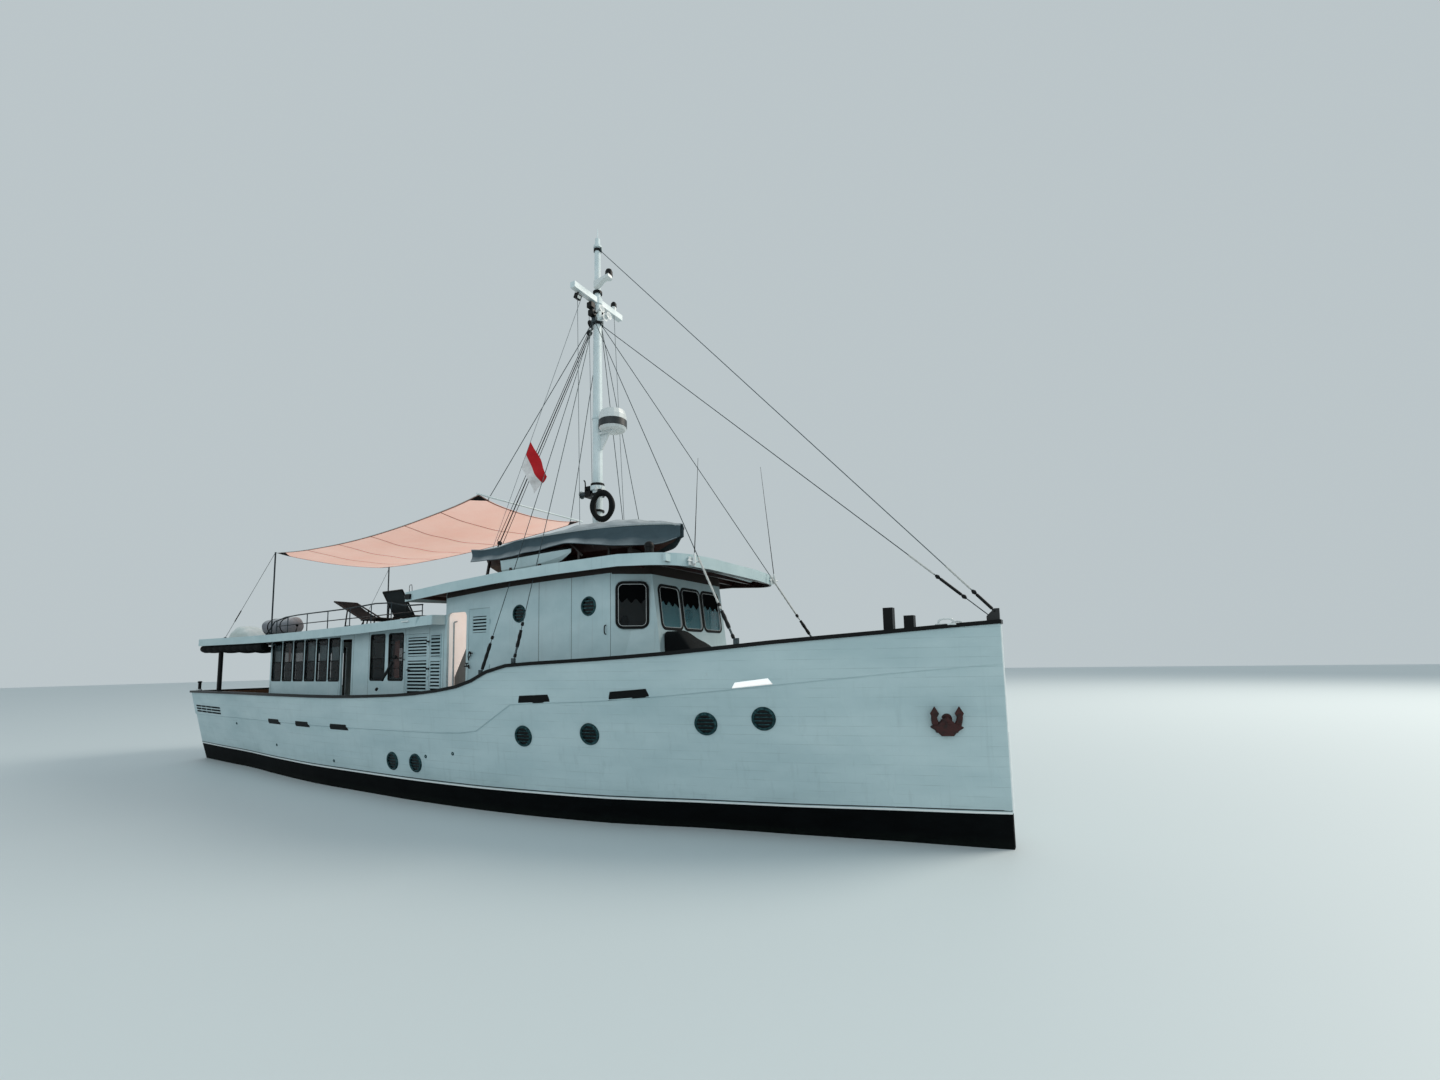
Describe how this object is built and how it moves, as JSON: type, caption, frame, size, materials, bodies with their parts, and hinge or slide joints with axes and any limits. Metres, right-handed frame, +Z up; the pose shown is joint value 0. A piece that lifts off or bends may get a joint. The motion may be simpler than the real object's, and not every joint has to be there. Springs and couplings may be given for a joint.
{
  "type": "wooden motor yacht",
  "caption": "Displacement motor yacht afloat: planked white hull with raised foredeck, wheelhouse, long deckhouse, stayed signal mast, awning, tender, propeller, rudder and doors.",
  "frame": {"origin": "on the centreline at the waterline, near amidships", "axes": "+X forward to the bow, +Y to port, +Z up"},
  "size_m": [22.29, 5.05, 14.44],
  "materials": {
    "hull_white": "semi-gloss topside paint on planking",
    "house_white": "semi-gloss paint on plywood",
    "bottom_black": "matt antifouling and boot-top paint",
    "dark_trim": "dark painted hardwood",
    "bronze": "cast and ground",
    "red_primer": "brushed red primer, worn",
    "galvanised": "galvanised wire and stainless tube",
    "spar_white": "gloss spar paint",
    "moulded_white": "moulded housing",
    "awning_cloth": "woven awning canvas",
    "flag_cloth": "woven bunting, red over white",
    "canvas_grey": "coated cover canvas",
    "canvas_dark": "dark coated canvas",
    "rope": "laid synthetic rope",
    "teak": "oiled and weathered"
  },
  "bodies": {
    "yacht": {"hull_topsides": "hull_white", "hull_bottom": "bottom_black", "keel": "bottom_black", "rail_cap": "dark_trim", "wheelhouse_roof": "house_white", "deckhouse_roof": "house_white", "deckhouse_side_starboard": "house_white", "deckhouse_side_port": "house_white", "deckhouse_aft": "house_white", "lobby": "house_white", "wheelhouse_side_starboard": "house_white", "wheelhouse_side_port": "house_white", "wheelhouse_front": "house_white", "lobby_steps": "teak", "helm_console": "teak", "aft_post_starboard": "dark_trim", "aft_post_port": "dark_trim", "stern_bench": "teak", "fore_bitts": "red_primer", "windlass": "galvanised", "deck_locker": "canvas_dark", "anchor_starboard": "red_primer", "anchor_port": "red_primer", "mast": "spar_white", "topmast": "spar_white", "crosstree": "spar_white", "radar": "moulded_white", "shrouds_starboard": "galvanised", "shrouds_port": "galvanised", "forestay_upper": "galvanised", "forestay_lower": "galvanised", "awning": "awning_cloth", "awning_pole_starboard": "galvanised", "awning_pole_port": "galvanised", "tender": "house_white", "dinghy": "house_white", "tender_cover": "canvas_grey", "boat_chocks": "red_primer", "lifting_tackle": "rope", "signal_halyard": "rope", "flag": "flag_cloth", "roof_rail_starboard": "galvanised", "roof_rail_port": "galvanised", "lounger_aft": "teak", "lounger_fore": "teak", "raft_canister": "canvas_grey"},
    "propeller": {"propeller": "bronze"},
    "rudder": {"rudder": "bottom_black"},
    "helm_wheel": {"helm_wheel": "teak"},
    "wheelhouse_door_starboard": {"wheelhouse_door_starboard": "house_white"},
    "wheelhouse_door_port": {"wheelhouse_door_port": "house_white"},
    "vent_door_starboard": {"vent_door_starboard": "house_white"},
    "vent_door_port": {"vent_door_port": "house_white"},
    "saloon_door_starboard": {"saloon_door_starboard": "house_white"},
    "saloon_door_port": {"saloon_door_port": "house_white"},
    "fore_hatch_lid": {"fore_hatch_lid": "teak"}
  },
  "joints": [
    {"name": "propeller_spin", "type": "hinge", "parent": "yacht", "child": "propeller", "pos_m": [-9.34, 0, -1.15], "axis": [1, 0, 0], "continuous": true},
    {"name": "rudder_turn", "type": "hinge", "parent": "yacht", "child": "rudder", "pos_m": [-9.95, 0, -1], "axis": [0, 0, 1], "range_deg": [-35, 35]},
    {"name": "helm_turn", "type": "hinge", "parent": "yacht", "child": "helm_wheel", "pos_m": [4.8, 0, 2.8], "axis": [1, 0, 0], "range_deg": [-700, 700]},
    {"name": "wheelhouse_door_starboard_swing", "type": "hinge", "parent": "yacht", "child": "wheelhouse_door_starboard", "pos_m": [1.832, -1.6593, 2.67], "axis": [0, 0, 1], "range_deg": [0, 60]},
    {"name": "wheelhouse_door_port_swing", "type": "hinge", "parent": "yacht", "child": "wheelhouse_door_port", "pos_m": [1.832, 1.6593, 2.67], "axis": [0, 0, -1], "range_deg": [0, 60]},
    {"name": "vent_door_starboard_swing", "type": "hinge", "parent": "yacht", "child": "vent_door_starboard", "pos_m": [-0.168, -1.6593, 2.45], "axis": [0, 0, 1], "range_deg": [0, 45]},
    {"name": "vent_door_port_swing", "type": "hinge", "parent": "yacht", "child": "vent_door_port", "pos_m": [-0.168, 1.6593, 2.45], "axis": [0, 0, -1], "range_deg": [0, 45]},
    {"name": "saloon_door_starboard_swing", "type": "hinge", "parent": "yacht", "child": "saloon_door_starboard", "pos_m": [-3.21, -1.5937, 2.4], "axis": [0, 0, 1], "range_deg": [0, 88]},
    {"name": "saloon_door_port_swing", "type": "hinge", "parent": "yacht", "child": "saloon_door_port", "pos_m": [-3.21, 1.5937, 2.4], "axis": [0, 0, -1], "range_deg": [0, 88]},
    {"name": "fore_hatch_swing", "type": "hinge", "parent": "yacht", "child": "fore_hatch_lid", "pos_m": [7.77, 0, 2.4103], "axis": [0, 1, 0], "range_deg": [0, 95]}
  ],
  "couplings": [
    {"joint": "helm_turn", "follows": "rudder_turn", "ratio": 20}
  ]
}
